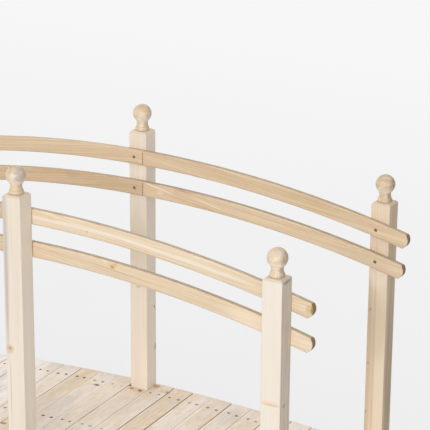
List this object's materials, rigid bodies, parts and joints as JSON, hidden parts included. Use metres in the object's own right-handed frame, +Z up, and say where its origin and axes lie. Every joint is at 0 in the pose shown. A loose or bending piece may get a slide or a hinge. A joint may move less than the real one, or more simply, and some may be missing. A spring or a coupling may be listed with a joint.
{
  "type": "arched timber garden footbridge with side railings",
  "caption": "Small arched softwood footbridge with a boarded deck, turned ball finials on its posts and bent double railings on both sides.",
  "frame": {"origin": "on the ground under the crown, midway between the two sides and the two ends", "axes": "+X along the bridge towards its front end, +Y towards its left side, +Z up"},
  "size_m": [1.892, 0.658, 0.998],
  "materials": {
    "post_timber": "planed, untreated softwood",
    "turned_timber": "turned and sanded, untreated softwood",
    "rail_timber": "planed, untreated softwood with eased edges",
    "beam_timber": "planed, untreated softwood",
    "deck_timber": "planed, untreated softwood boards"
  },
  "bodies": {
    "root": {"post_left_rear": "post_timber", "post_left_middle": "post_timber", "post_left_front": "post_timber", "post_right_rear": "post_timber", "post_right_middle": "post_timber", "post_right_front": "post_timber", "finial_left_rear": "turned_timber", "finial_left_middle": "turned_timber", "finial_left_front": "turned_timber", "finial_right_rear": "turned_timber", "finial_right_middle": "turned_timber", "finial_right_front": "turned_timber", "upper_rail_left_rear": "rail_timber", "upper_rail_left_front": "rail_timber", "upper_rail_right_rear": "rail_timber", "upper_rail_right_front": "rail_timber", "lower_rail_left_rear": "rail_timber", "lower_rail_left_front": "rail_timber", "lower_rail_right_rear": "rail_timber", "lower_rail_right_front": "rail_timber", "beam_left_rear": "beam_timber", "beam_left_front": "beam_timber", "beam_centre_rear": "beam_timber", "beam_centre_front": "beam_timber", "beam_right_rear": "beam_timber", "beam_right_front": "beam_timber", "boards_rear_ramp": "deck_timber", "boards_rear_posts": "deck_timber", "boards_rear_bay": "deck_timber", "boards_crown": "deck_timber", "boards_front_bay": "deck_timber", "boards_front_posts": "deck_timber", "boards_front_ramp": "deck_timber"}
  },
  "joints": []
}
